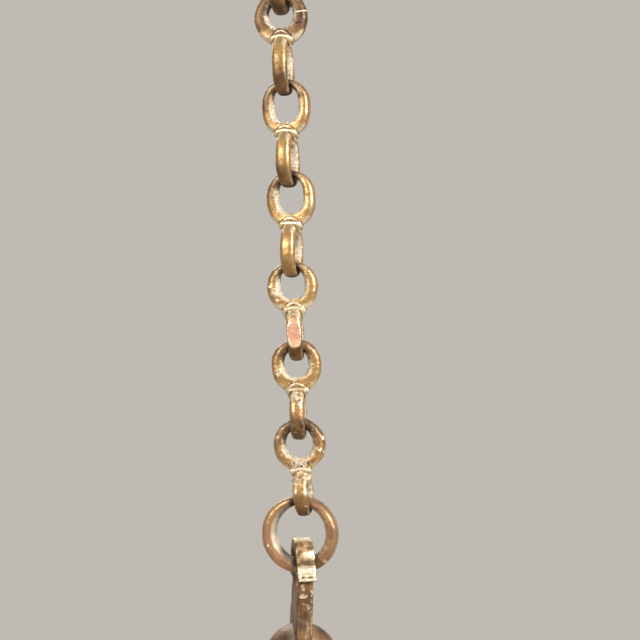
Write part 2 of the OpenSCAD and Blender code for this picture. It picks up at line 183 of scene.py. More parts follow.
class OBJECT_PG_cast_finish(bpy.types.PropertyGroup):
    """How the cast surfaces are shaped."""

    grain: bpy.props.FloatProperty(
        name="Link grain", description="Spacing of the mesh of the cast links",
        default=0.27 * MM, min=0.2 * MM, unit="LENGTH", precision=5)
    lamp_grain: bpy.props.FloatProperty(
        name="Lamp grain", description="Spacing of the mesh of the stem and the cups",
        default=0.5 * MM, min=0.3 * MM, unit="LENGTH", precision=5)
    bowl_grain: bpy.props.FloatProperty(
        name="Bowl grain", description="Spacing of the mesh of the oil bowl",
        default=0.75 * MM, min=0.5 * MM, unit="LENGTH", precision=5)
    swell: bpy.props.FloatProperty(
        name="Swell", description="Height of the slow waves a wax model leaves in a casting",
        default=0.16 * MM, unit="LENGTH", precision=5)
    ripple: bpy.props.FloatProperty(
        name="Ripple", description="Height of the finer unevenness of a casting",
        default=0.07 * MM, unit="LENGTH", precision=5)


class OBJECT_PG_brass_colours(bpy.types.PropertyGroup):
    """Colours of the aged brass, as sRGB hex values."""

    gold: bpy.props.StringProperty(name="Worn gold", description="Rubbed brass", default="#c09860")
    rose: bpy.props.StringProperty(name="Rose", description="Redder brass, where copper shows", default="#b5875a")
    brown: bpy.props.StringProperty(name="Patina", description="Olive brown oxide on the brass", default="#86623a")
    umber: bpy.props.StringProperty(name="Umber", description="Thickest oxide", default="#4b3320")
    # Cream also paints highlights on the top and shoulders of the lamp's lug
    cream: bpy.props.StringProperty(name="Cream", description="Polished crests of the collars", default="#ecdab6")
    frost: bpy.props.StringProperty(name="Frost", description="Chalky as-cast skin inside the rings", default="#e0d2b8")
    ash: bpy.props.StringProperty(name="Ash", description="Dusty grey of the same skin", default="#9c8a72")
    # Dust, and painted light on the big ring's inner face and beside the lamp's shank
    dust_and_sheen: bpy.props.StringProperty(
        name="Dust", description="Smooth grey film inside the big ring", default="#cdc3b0")
    # Soot, and the painted shade in grooves and where the pieces meet
    soot_and_shade: bpy.props.StringProperty(name="Soot", description="Oil and soot where the links rub", default="#1e140c")
    copper: bpy.props.StringProperty(name="Copper", description="Fresh pink wear on a handled link", default="#e6ad8c")


class OBJECT_PG_lamp_stage(bpy.types.PropertyGroup):
    """Stage and camera."""

    floor: bpy.props.StringProperty(name="Floor", description="Matt colour of the floor", default="#7d7973")
    backdrop: bpy.props.StringProperty(
        name="Backdrop", description="Surround, and the floor's own glow", default="#d9d4cc")
    lens: bpy.props.FloatProperty(name="Lens", description="Focal length in millimetres", default=100.0)
    distance: bpy.props.FloatProperty(
        name="Distance", description="From the camera to the chain", default=0.74, unit="LENGTH")
    azimuth: bpy.props.FloatProperty(
        name="Azimuth", description="Turn of the camera to the right", default=math.radians(10), subtype="ANGLE")
    roll: bpy.props.FloatProperty(
        name="Roll", description="Tilt of the camera, so that the chain leans",
        default=math.radians(2.5), subtype="ANGLE")


def linear(hex_colour):
    """An sRGB hex value as a linear colour with alpha."""
    channels = [int(hex_colour[k:k + 2], 16) / 255 for k in (1, 3, 5)]
    return [c / 12.92 if c <= 0.04045 else ((c + 0.055) / 1.055) ** 2.4 for c in channels] + [1.0]


def add(tree, kind, links=None, **settings):
    """Adds a node; settings are its properties or, as in_NAME, its inputs, and links feed inputs by name or number."""
    made = tree.nodes.new(kind)
    for name, value in settings.items():
        if name.startswith("in_"):
            key = name[3:]
            made.inputs[int(key) if key.isdigit() else key.replace("_", " ")].default_value = value
        else:
            setattr(made, name, value)
    for key, source in (links or {}).items():
        tree.links.new(source, made.inputs[key])
    return made


def per_mm(size_mm):
    """Texture scale at which a feature comes out about this wide."""
    return 1 / (size_mm * MM)


def smoothstep(low, high, value):
    """0 at low and 1 at high, with an easy curve between; low may be the larger of the two."""
    t = min(max((value - low) / (high - low), 0), 1)
    return t * t * (3 - 2 * t)


def seen_by_eye(tree):
    """1 for what the camera, a mirror or glass sees, 0 for the light that falls on matt surfaces."""
    path = add(tree, "ShaderNodeLightPath")
    seen = add(tree, "ShaderNodeMath", {0: path.outputs["Is Camera Ray"], 1: path.outputs["Is Glossy Ray"]},
               operation="ADD")
    seen = add(tree, "ShaderNodeMath", {0: seen.outputs[0], 1: path.outputs["Is Transmission Ray"]},
               operation="ADD", use_clamp=True)
    return seen.outputs[0]


def aged_brass(name, colours, turned=False):
    """Cast brass under decades of lamp oil: gold where hands rub it, brown oxide elsewhere, soot in every crevice, with
    painted shade in the crevices and painted light and shade laid into the wear and crest marks.
    """
    material = bpy.data.materials.new(name)
    material.use_nodes = True
    tree = material.node_tree
    tree.nodes.clear()
    place = add(tree, "ShaderNodeTexCoord").outputs["Object"]

    # Cloudy oxide a few millimetres across, mottling inside it, and the grit of the mould, drawn coarse enough to show
    clouds = add(tree, "ShaderNodeTexNoise", {"Vector": place}, in_Scale=per_mm(8.0), in_Detail=5.0, in_Roughness=0.6)
    blush = add(tree, "ShaderNodeTexNoise", {"Vector": place}, in_Scale=per_mm(15.0), in_Detail=2.0)
    mottle = add(tree, "ShaderNodeTexNoise", {"Vector": place}, in_Scale=per_mm(1.8), in_Detail=5.0, in_Roughness=0.65)
    grit = add(tree, "ShaderNodeTexNoise", {"Vector": place}, in_Scale=per_mm(0.7), in_Detail=3.0, in_Roughness=0.6)
    pits = add(tree, "ShaderNodeTexVoronoi", {"Vector": place}, in_Scale=per_mm(1.7), in_Randomness=1.0)
    worn, inside, grime_and_shade, copper, crest, dust_and_sheen = [
        add(tree, "ShaderNodeAttribute", attribute_name=mark).outputs["Fac"]
        for mark in ("worn", "inside", "grime_and_shade", "copper", "crest", "dust_and_sheen")]

    # Oxide runs from umber to olive brown, and the brass that shows through it from gold to rose
    deep = add(tree, "ShaderNodeMapRange", {"Value": clouds.outputs["Fac"]}, in_1=0.34, in_2=0.6)
    oxide = add(tree, "ShaderNodeMix", {0: deep.outputs[0]}, data_type="RGBA",
                in_6=linear(colours.umber), in_7=linear(colours.brown))
    warm = add(tree, "ShaderNodeMapRange", {"Value": blush.outputs["Fac"]}, in_1=0.45, in_2=0.7)
    brass = add(tree, "ShaderNodeMix", {0: warm.outputs[0]}, data_type="RGBA",
                in_6=linear(colours.gold), in_7=linear(colours.rose))
    # The wear mark holds rubbing and also painted light and shade; with the clouds it sets how much gold shows
    rub = add(tree, "ShaderNodeMath", {0: mottle.outputs["Fac"], 2: worn}, operation="MULTIPLY_ADD", in_1=0.4)
    rub = add(tree, "ShaderNodeMath", {0: clouds.outputs["Fac"], 2: rub.outputs[0]}, operation="MULTIPLY_ADD",
              in_1=0.5)
    gold_share = add(tree, "ShaderNodeMapRange", {"Value": rub.outputs[0]}, interpolation_type="SMOOTHSTEP",
                     in_1=0.4, in_2=1.0)
    colour = add(tree, "ShaderNodeMix", {0: gold_share.outputs[0], 6: oxide.outputs[2], 7: brass.outputs[2]},
                 data_type="RGBA")
    colour = add(tree, "ShaderNodeMix", {0: copper, 6: colour.outputs[2]}, data_type="RGBA",
                 in_7=linear(colours.copper))

    # Crests are polished pale by years of cleaning, and painted highlights are laid in the same cream
    polish = add(tree, "ShaderNodeMath", {0: mottle.outputs["Fac"], 2: crest}, operation="MULTIPLY_ADD", in_1=0.5)
    polish = add(tree, "ShaderNodeMapRange", {"Value": polish.outputs[0]}, interpolation_type="SMOOTHSTEP",
                 in_1=0.42, in_2=1.0)
    colour = add(tree, "ShaderNodeMix", {0: polish.outputs[0], 6: colour.outputs[2]}, data_type="RGBA",
                 in_7=linear(colours.cream))

    # Chalky skin inside the rings, dusty grey to white, broken up so that brass shows through
    crumbs = add(tree, "ShaderNodeMath", {0: grit.outputs["Fac"], 2: mottle.outputs["Fac"]}, operation="MULTIPLY_ADD",
                 in_1=0.6)
    chalk = add(tree, "ShaderNodeMath", {0: inside, 2: crumbs.outputs[0]}, operation="MULTIPLY_ADD", in_1=0.55)
    chalk = add(tree, "ShaderNodeMapRange", {"Value": chalk.outputs[0]}, interpolation_type="SMOOTHSTEP",
                in_1=0.95, in_2=1.35)
    white = add(tree, "ShaderNodeMapRange", {"Value": crumbs.outputs[0]}, in_1=0.6, in_2=0.98)
    skin = add(tree, "ShaderNodeMix", {0: white.outputs[0]}, data_type="RGBA",
               in_6=linear(colours.ash), in_7=linear(colours.frost))
    colour = add(tree, "ShaderNodeMix", {0: chalk.outputs[0], 6: colour.outputs[2], 7: skin.outputs[2]},
                 data_type="RGBA")

    # A smooth film of dust with painted light on it, thinner in cloudy patches
    film = add(tree, "ShaderNodeMapRange", {"Value": clouds.outputs["Fac"]}, in_1=0.3, in_2=0.55, in_3=0.55, in_4=1.0)
    film = add(tree, "ShaderNodeMath", {0: film.outputs[0], 1: dust_and_sheen}, operation="MULTIPLY")
    colour = add(tree, "ShaderNodeMix", {0: film.outputs[0], 6: colour.outputs[2]}, data_type="RGBA",
                 in_7=linear(colours.dust_and_sheen))

    # Soot gathers in grooves and pits, and painted shade darkens the grooves and the places where pieces meet
    specks = add(tree, "ShaderNodeMapRange", {"Value": pits.outputs["Distance"]},
                 in_1=0.1, in_2=0.24, in_3=0.4, in_4=0.0)
    blotch = add(tree, "ShaderNodeMapRange", {"Value": clouds.outputs["Fac"]},
                 in_1=0.38, in_2=0.52, in_3=1.0, in_4=0.0)
    specks = add(tree, "ShaderNodeMath", {0: specks.outputs[0], 1: blotch.outputs[0]}, operation="MULTIPLY")
    smoke_and_shade = add(tree, "ShaderNodeMath", {0: mottle.outputs["Fac"], 2: grime_and_shade}, operation="MULTIPLY_ADD", in_1=0.6)
    smoke_and_shade = add(tree, "ShaderNodeMapRange", {"Value": smoke_and_shade.outputs[0]}, interpolation_type="SMOOTHSTEP",
                in_1=0.45, in_2=1.05)
    soot_and_shade = add(tree, "ShaderNodeMath", {0: specks.outputs[0], 1: smoke_and_shade.outputs[0]}, operation="ADD", use_clamp=True)
    stain_and_shade = add(tree, "ShaderNodeMix", {0: soot_and_shade.outputs[0]}, data_type="RGBA",
                in_6=linear(colours.umber), in_7=linear(colours.soot_and_shade))
    colour = add(tree, "ShaderNodeMix", {0: soot_and_shade.outputs[0], 6: colour.outputs[2], 7: stain_and_shade.outputs[2]},
                 data_type="RGBA")

    # Rubbed brass shines, oxide is duller, chalk and the soot with its painted shade hardly shine at all
    dull = add(tree, "ShaderNodeMath", {0: chalk.outputs[0], 1: soot_and_shade.outputs[0]}, operation="ADD")
    dull = add(tree, "ShaderNodeMath", {0: film.outputs[0], 1: dull.outputs[0]}, operation="ADD", use_clamp=True)
    rough = add(tree, "ShaderNodeMapRange", {"Value": gold_share.outputs[0]}, in_3=0.45, in_4=0.32)
    rough = add(tree, "ShaderNodeMath", {0: dull.outputs[0], 2: rough.outputs[0]}, operation="MULTIPLY_ADD",
                in_1=0.35)
    metal = add(tree, "ShaderNodeMapRange", {"Value": gold_share.outputs[0]}, in_3=0.42, in_4=0.72)
    bare = add(tree, "ShaderNodeMapRange", {"Value": dull.outputs[0]}, in_3=1.0, in_4=0.15)
    metal = add(tree, "ShaderNodeMath", {0: metal.outputs[0], 1: bare.outputs[0]}, operation="MULTIPLY")

    height = add(tree, "ShaderNodeMath", {0: mottle.outputs["Fac"], 2: pits.outputs["Distance"]},
                 operation="MULTIPLY_ADD", in_1=0.8)
    bump = add(tree, "ShaderNodeBump", {"Height": height.outputs[0]}, in_Strength=0.22, in_Distance=0.2 * MM)
    crust = add(tree, "ShaderNodeMath", {0: crumbs.outputs[0], 1: inside}, operation="MULTIPLY")
    bump = add(tree, "ShaderNodeBump", {"Height": crust.outputs[0], "Normal": bump.outputs[0]},
               in_Strength=0.6, in_Distance=0.35 * MM)
    if turned:
        # Tool marks of the lathe, about a millimetre apart so that they show
        along = add(tree, "ShaderNodeTexWave", {"Vector": place}, bands_direction="Z", in_Scale=per_mm(6.0),
                    in_Distortion=1.5, in_Detail=2.0)
        bump = add(tree, "ShaderNodeBump", {"Height": along.outputs["Fac"], "Normal": bump.outputs[0]},
                   in_Strength=0.12, in_Distance=0.1 * MM)
    shader = add(tree, "ShaderNodeBsdfPrincipled", {
        "Base Color": colour.outputs[2], "Roughness": rough.outputs[0], "Metallic": metal.outputs[0],
        "Normal": bump.outputs[0]})
    add(tree, "ShaderNodeOutputMaterial", {"Surface": shader.outputs[0]})
    return material


def oiled_leather():
    """Washer leather soaked in oil: near black, with a soft grain."""
    material = bpy.data.materials.new("oiled_leather")
    material.use_nodes = True
    tree = material.node_tree
    tree.nodes.clear()
    place = add(tree, "ShaderNodeTexCoord").outputs["Object"]
    grain = add(tree, "ShaderNodeTexVoronoi", {"Vector": place}, in_Scale=per_mm(0.9))
    colour = add(tree, "ShaderNodeMix", {0: grain.outputs["Distance"]}, data_type="RGBA",
                 in_6=linear("#2c1d13"), in_7=linear("#4a3322"))
    bump = add(tree, "ShaderNodeBump", {"Height": grain.outputs["Distance"]},
               in_Strength=0.4, in_Distance=0.15 * MM)
    shader = add(tree, "ShaderNodeBsdfPrincipled", {"Base Color": colour.outputs[2], "Normal": bump.outputs[0]},
                 in_Roughness=0.6)
    add(tree, "ShaderNodeOutputMaterial", {"Surface": shader.outputs[0]})
    return material


def recast(node, grain, rounds, softness=None):
    """A copy of a CAD node as one even skin, softened the way a wax model softens every edge.

    softness gives, for a place in the frame, how far the many rounds of smoothing act there, from 0 to 1.
    """
    source = bmesh.new()
    source.from_mesh(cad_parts[node].data)
    bmesh.ops.remove_doubles(source, verts=source.verts, dist=0.002 * MM)
    mesh = bpy.data.meshes.new(node + "_skin")
    source.to_mesh(mesh)
    source.free()
    blank = bpy.data.objects.new(node + "_blank", mesh)
    bpy.context.scene.collection.objects.link(blank)
    remesh = blank.modifiers.new("Skin", "REMESH")
    remesh.mode = "VOXEL"
    remesh.voxel_size = grain
    bpy.context.view_layer.update()
    even = bpy.data.meshes.new_from_object(blank.evaluated_get(bpy.context.evaluated_depsgraph_get()))
    blank.modifiers.clear()
    blank.data = even
    bpy.data.meshes.remove(mesh)
    soft = blank.vertex_groups.new(name="soft")
    for vert in even.vertices:
        soft.add([vert.index], softness(vert.co) if softness else 1.0, "REPLACE")
    knead = blank.modifiers.new("Knead", "SMOOTH")
    knead.factor = 0.5
    knead.iterations = rounds
    knead.vertex_group = "soft"
    bpy.context.view_layer.update()
    cast = bpy.data.meshes.new_from_object(blank.evaluated_get(bpy.context.evaluated_depsgraph_get()))
    bpy.data.objects.remove(blank)
    bpy.data.meshes.remove(even)
    skin = bmesh.new()
    skin.from_mesh(cast)
    bpy.data.meshes.remove(cast)
    for layer in list(skin.verts.layers.deform.values()):
        skin.verts.layers.deform.remove(layer)
    bmesh.ops.smooth_vert(skin, verts=skin.verts, factor=0.5, use_axis_x=True, use_axis_y=True, use_axis_z=True)
    skin.normal_update()
    return skin


def relief(skin, rounds):
    """How far each vertex stands over a smoothed copy of the skin, in metres: below zero in a groove."""
    shape = [vert.co.copy() for vert in skin.verts]
    normals = [vert.normal.copy() for vert in skin.verts]
    for _ in range(rounds):
        bmesh.ops.smooth_vert(skin, verts=skin.verts, factor=0.5, use_axis_x=True, use_axis_y=True, use_axis_z=True)
    heights = [(co - vert.co).dot(normal) for vert, co, normal in zip(skin.verts, shape, normals)]
    for vert, co in zip(skin.verts, shape):
        vert.co = co
    skin.normal_update()
    return heights


def weather(skin, finish, seed, calm=None, polish=0.6, rough=1.0, groove_grime_and_shade=1.0):
    """Moves every vertex a little along its normal, as hand casting leaves it; grooves darken with grime and painted
    shade, crests wear pale.

    calm gives, for a place in the frame, how far the casting's unevenness is held back there, from 0 to 1. polish and
    rough scale the pale crests and the fine unevenness, and the last argument the grime and painted shade in grooves.
    """
    layers = skin.verts.layers.float
    inside, grime_and_shade, crest = [layers.get(mark) or layers.new(mark) for mark in ("inside", "grime_and_shade", "crest")]
    skin.normal_update()
    broad = relief(skin, WIDE_ROUNDS)
    tight = relief(skin, NARROW_ROUNDS)
    offset = Vector((seed * 7.13, seed * 3.71, seed * 5.37))
    moves = []
    for vert, rise, edge in zip(skin.verts, broad, tight):
        place = vert.co / MM
        wave = noise.noise(place / 7.0 + offset) * finish.swell
        fine = noise.noise(place / 2.2 + offset) * finish.ripple
        fine += noise.noise(place / 0.9 + offset) * finish.ripple * 0.4
        held = calm(vert.co) if calm else 0.0
        moves.append((vert, vert.normal * (wave + fine * (rough + vert[inside])) * (1 - held)))
        # Grooves and hollows darken with grime and painted shade; crests wear pale
        hollow = smoothstep(0.015, 0.16, -rise / MM) * 0.5 + smoothstep(0.006, 0.06, -edge / MM) * 0.32
        hollow *= groove_grime_and_shade * (1 + 0.7 * noise.noise(place / 1.6 + offset))
        vert[grime_and_shade] = min(vert[grime_and_shade] + hollow, 1)
        vert[crest] = (vert[crest] + smoothstep(0.03, 0.15, rise / MM) * polish) * (1 - hollow)
    for vert, move in moves:
        vert.co += move


def finish_piece(skin, name, body, slot, material, *nodes):
    """Turns a cast skin into a piece that rides on its body in place of its CAD nodes."""
    mesh = bpy.data.meshes.new(name)
    skin.to_mesh(mesh)
    skin.free()
    mesh.polygons.foreach_set("use_smooth", [True] * len(mesh.polygons))
    mesh.materials.append(material)
    piece = bpy.data.objects.new(name, mesh)
    bpy.context.scene.collection.objects.link(piece)
    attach(piece, body)
    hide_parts(*nodes)


def brass_of(context, turned=False):
    """The lamp's brass, cast or turned on a lathe, made once."""
    name = "aged_turned_brass" if turned else "aged_cast_brass"
    return bpy.data.materials.get(name) or aged_brass(name, context.scene.oil_lamp_colours, turned)


def mark_ring(skin, to_local, lower, reach, hole, neck, layers):
    """Marks a link's ring: chalk inside its hole, and soot with painted shade where the next piece rubs."""
    inside, grime_and_shade = layers
    far = reach - hole
    near = min(neck + hole, far)
    turn = to_local.to_3x3()
    for vert in skin.verts:
        place = to_local @ vert.co / MM
        facing = turn @ vert.normal
        height = -place.z if lower else place.z
        if height < 2.2:
            continue
        rise = -facing.z if lower else facing.z
        across, turned = (place.y, facing.y) if lower else (place.x, facing.x)
        axis = min(max(height, near), far)
        radius = math.hypot(across, height - axis)
        if radius > 1e-3:
            inwards = -(across * turned + (height - axis) * rise) / radius
            vert[inside] = max(vert[inside], smoothstep(-0.05, 0.6, inwards))
        # Soot and painted shade where the next piece rubs
        rub = math.hypot(across, height - reach, place.x if lower else place.y)
        vert[grime_and_shade] = max(vert[grime_and_shade], 1.15 * math.exp(-(rub / 4.2) ** 2))


def bend_collar(skin, to_local, rise):
    """Bends a link's collar to a saddle, high in front and behind and low at its sides."""
    for vert in skin.verts:
        place = to_local @ vert.co / MM
        bend = (place.y ** 2 - place.x ** 2) / (place.x ** 2 + place.y ** 2 + 2.0)
        vert.co.z += rise * MM * bend * smoothstep(7.0, 3.0, abs(place.z))


def near_collar(place):
    """1 in the middle of a link, falling to 0 in its rings."""
    return math.exp(-(place.z / 3.6) ** 2)


def tone_link(vert, place, i, marks):
    """Marks how far a link is rubbed, with painted light and shade on the left and right of its upper ring and painted
    shade towards its ring ends, and where its collar is pale.
    """
    inside, worn, crest = marks["inside"], marks["worn"], marks["crest"]
    end = smoothstep(8.0, 17.0, abs(place.z))
    upper = smoothstep(-4.0, 4.0, place.z)
    left, right = UPPER_TONE_AND_LIGHT[i]
    # Painted light and shade on the upper ring's left and right, over its own rubbing
    tone = (left + (right - left) * smoothstep(-6.0, 6.0, place.x)) * upper + LOWER_TONE[i] * (1 - upper)
    # Rubbed brighter near the collar, with painted shade darkening the ring ends
    vert[worn] = 0.28 + tone + 0.35 * math.exp(-((place.z - 2.0) / 6.0) ** 2) - 0.34 * end
    vert[inside] = vert[inside] * (1 - 0.5 * end) * (1 - near_collar(place))
    middle, length, pale = COLLAR_PALE_MM[i]
    vert[crest] = pale * math.exp(-((place.z - middle) / length) ** 2)


def pit_link(vert, place, i, marks):
    """Roughens a link: a rough casting holds dirt in its pits and craters, and wears pale on its grains."""
    grime_and_shade, crest = marks["grime_and_shade"], marks["crest"]
    blot = noise.noise(place / 1.3 + Vector((i * 3.3, 1.7, 4.1))) + 0.5 * noise.noise(place / 0.6)
    vert[grime_and_shade] += (ROUGHCAST[i] - PITTED_OVER) * 0.45 * smoothstep(0.3, 0.9, blot)
    vert[crest] += (ROUGHCAST[i] - PITTED_OVER) * 0.28 * smoothstep(0.3, 0.9, -blot)
    near = noise.voronoi(place / 2.4 + Vector((i * 1.9, 0.4, 2.6)))[0][0]
    crater = smoothstep(0.3, 0.12, near)
    crater *= smoothstep(0.0, 0.3, noise.noise(place / 5.0 + Vector((i, 2.0, 0.0))))
    crater *= max(ROUGHCAST[i] - CRATERED_OVER, 0) * (1 - near_collar(place))
    vert[grime_and_shade] += 0.22 * crater
    vert.co -= vert.normal * CRATER_MM * MM * crater


def raise_seam(vert, place, crest):
    """Raises a line where the halves of the mould met."""
    seam = math.exp(-((place.z - SEAM_MM - 0.12 * place.x) / SEAM_HALF_MM) ** 2) * smoothstep(*SEAM_FROM_MM, place.x)
    vert[crest] += 0.6 * seam
    vert.co += vert.normal * SEAM_RISE_MM * MM * seam


def stain_front(vert, place, patches, marks):
    """Lays patches on the front of a link, ragged, as no patch has an even edge."""
    for mark, (beside, over), radius, strength in patches:
        away = math.hypot(place.x - beside, place.z - over) / radius
        if away < FADE_RADII:
            ragged = strength * (1 + 0.8 * noise.noise(place / 0.9 + Vector((beside, over, 0.0))))
            vert[marks[mark]] = max(vert[marks[mark]], ragged * math.exp(-away * away))


def raise_nodules(vert, place, nodules):
    """Raises the drops of metal that a flawed mould leaves."""
    for spot, radius, tall in nodules:
        away = (place - Vector(spot)).length / radius
        if away < FADE_RADII:
            tall *= 0.8 + 0.6 * noise.noise(place / 0.7)
            vert.co += vert.normal * tall * MM * math.exp(-away * away)


def rub_flat(vert, place, pose, marks):
    """Rubs a flat on the front of a ring, down to pink metal."""
    from_middle = place - FACET_MIDDLE_MM
    spread = math.hypot(from_middle.x / FACET_HALF_MM[0], from_middle.z / FACET_HALF_MM[1])
    rubbed = smoothstep(1.08, 0.92, spread)
    if rubbed > 0:
        vert[marks["copper"]] = rubbed
        vert[marks["crest"]] = 0.0
        flat = Vector((place.x, max(place.y, FACET_MIDDLE_MM.y), place.z))
        vert.co = pose @ (place.lerp(flat, rubbed) * MM)


class OBJECT_OT_cast_links(bpy.types.Operator):
    """Cast the chain's links: crossed rings tied by a collar of two beads"""

    bl_idname = "object.oil_lamp_cast_links"
    bl_label = "Cast Links"

    def execute(self, context):
        finish = context.scene.oil_lamp_finish
        material = brass_of(context)
        for i, node in enumerate(LINK_NODES):
            pose = Matrix.Translation(Vector((LINK_SHIFT_MM[i], 0, LINK_MIDDLE_MM[i])) * MM) @ Euler(
                (0, math.radians(LINK_LEAN_DEG[i]), math.radians(LINK_YAW_DEG[i]))).to_matrix().to_4x4()
            to_local = pose.inverted()
            # The rings are kneaded round, and the beads of the collar stay crisp
            skin = recast(node, finish.grain, LINK_ROUNDS, lambda co: max(
                smoothstep(*COLLAR_TO_RING_MM, (to_local @ co).z / MM),
                smoothstep(*LOWER_COLLAR_TO_RING_MM[i], -(to_local @ co).z / MM)))
            layers = skin.verts.layers.float
            for mark in ("inside", "grime_and_shade", "worn", "copper", "crest"):
                layers.new(mark)
            marks = dict(layers.items())
            rings = marks["inside"], marks["grime_and_shade"]
            bend_collar(skin, to_local, SADDLE_MM[i])
            mark_ring(skin, to_local, False, UPPER_REACH_MM[i], UPPER_HOLE_MM[i], UPPER_NECK_MM[i], rings)
            mark_ring(skin, to_local, True, LOWER_REACH_MM[i], LOWER_HOLE_MM[i], LOWER_NECK_MM[i], rings)
            for vert in skin.verts:
                ring = smoothstep(*COLLAR_TO_RING_MM, abs((to_local @ vert.co).z) / MM)
                vert.co += vert.normal * RING_PLUMP_MM * MM * ring * (1 - min(vert[marks["grime_and_shade"]], 1))
            for vert in skin.verts:
                place = to_local @ vert.co / MM
                tone_link(vert, place, i, marks)
                pit_link(vert, place, i, marks)
                if i == SEAM_LINK and place.x > SEAM_FROM_MM[0]:
                    raise_seam(vert, place, marks["crest"])
                if place.y < 0:
                    stain_front(vert, place, PATCHES_MM.get(i, []), marks)
                raise_nodules(vert, place, NODULES_MM.get(i, []))
                if i == FACET_LINK and place.y < 0:
                    rub_flat(vert, place, pose, marks)
            weather(skin, finish, i + 1, lambda co: 0.75 * math.exp(-((to_local @ co).z / (4.2 * MM)) ** 2),
                    rough=ROUGHCAST[i], groove_grime_and_shade=GROOVE_GRIME_AND_SHADE[i])
            finish_piece(skin, node.replace("chain", "cast") + "_casting", node, "chain_brass", material, node)
        return {"FINISHED"}


class OBJECT_OT_suspension_ring(bpy.types.Operator):
    """Cast the plain ring between the chain and the lamp"""

    bl_idname = "object.oil_lamp_suspension_ring"
    bl_label = "Suspension Ring"

    def execute(self, context):
        finish = context.scene.oil_lamp_finish
        material = brass_of(context)
        skin = recast("suspension_ring", finish.grain, LOOP_ROUNDS)
        grime_and_shade, worn, copper, crest, dust_and_sheen = [
            skin.verts.layers.float.new(mark) for mark in ("grime_and_shade", "worn", "copper", "crest", "dust_and_sheen")]
        pose = Matrix.Translation(LOOP_MIDDLE_MM * MM) @ Matrix.Rotation(math.radians(LOOP_YAW_DEG), 4, "Z")
        to_local = pose.inverted()
        turn = to_local.to_3x3()
        for vert in skin.verts:
            place = to_local @ vert.co / MM
            facing = turn @ vert.normal
            inwards = -(place.x * facing.x + place.z * facing.z) / max(math.hypot(place.x, place.z), 1e-6)
            # The inner face is filmed with dust, paler still as painted light where it lies in shade, and the rest is
            # rubbed to a coppery brown
            left = smoothstep(4.0, -12.0, place.x)
            vert[dust_and_sheen] = 0.9 * smoothstep(0.25, 0.8, inwards)
            vert[worn] = 0.22 + 0.14 * left
            vert[copper] = (0.16 + 0.1 * left) * (1 - vert[dust_and_sheen])
            # Soot and painted shade where the chain and the lug meet the ring
            for rubbed in (LOOP_HOLE_MM, -LOOP_HOLE_MM):
                rub = math.hypot(place.x, place.z - rubbed)
                vert[grime_and_shade] = max(vert[grime_and_shade], 1.1 * math.exp(-(rub / 4.0) ** 2))
            plump = LOOP_PLUMP_MM + LOOP_STOUT_MM * left
            vert.co += vert.normal * plump * MM * (1 - min(vert[grime_and_shade], 1))
            for spot, radius, tall in LOOP_NODULES_MM:
                away = (place - Vector(spot)).length / radius
                if away < FADE_RADII:
                    vert.co += vert.normal * tall * MM * math.exp(-away * away)
                    vert[crest] = max(vert[crest], 0.7 * math.exp(-away * away))
        weather(skin, finish, LOOP_SEED, polish=0.2)
        finish_piece(skin, "suspension_ring_casting", "suspension_ring", "chain_brass", material, "suspension_ring")
        return {"FINISHED"}


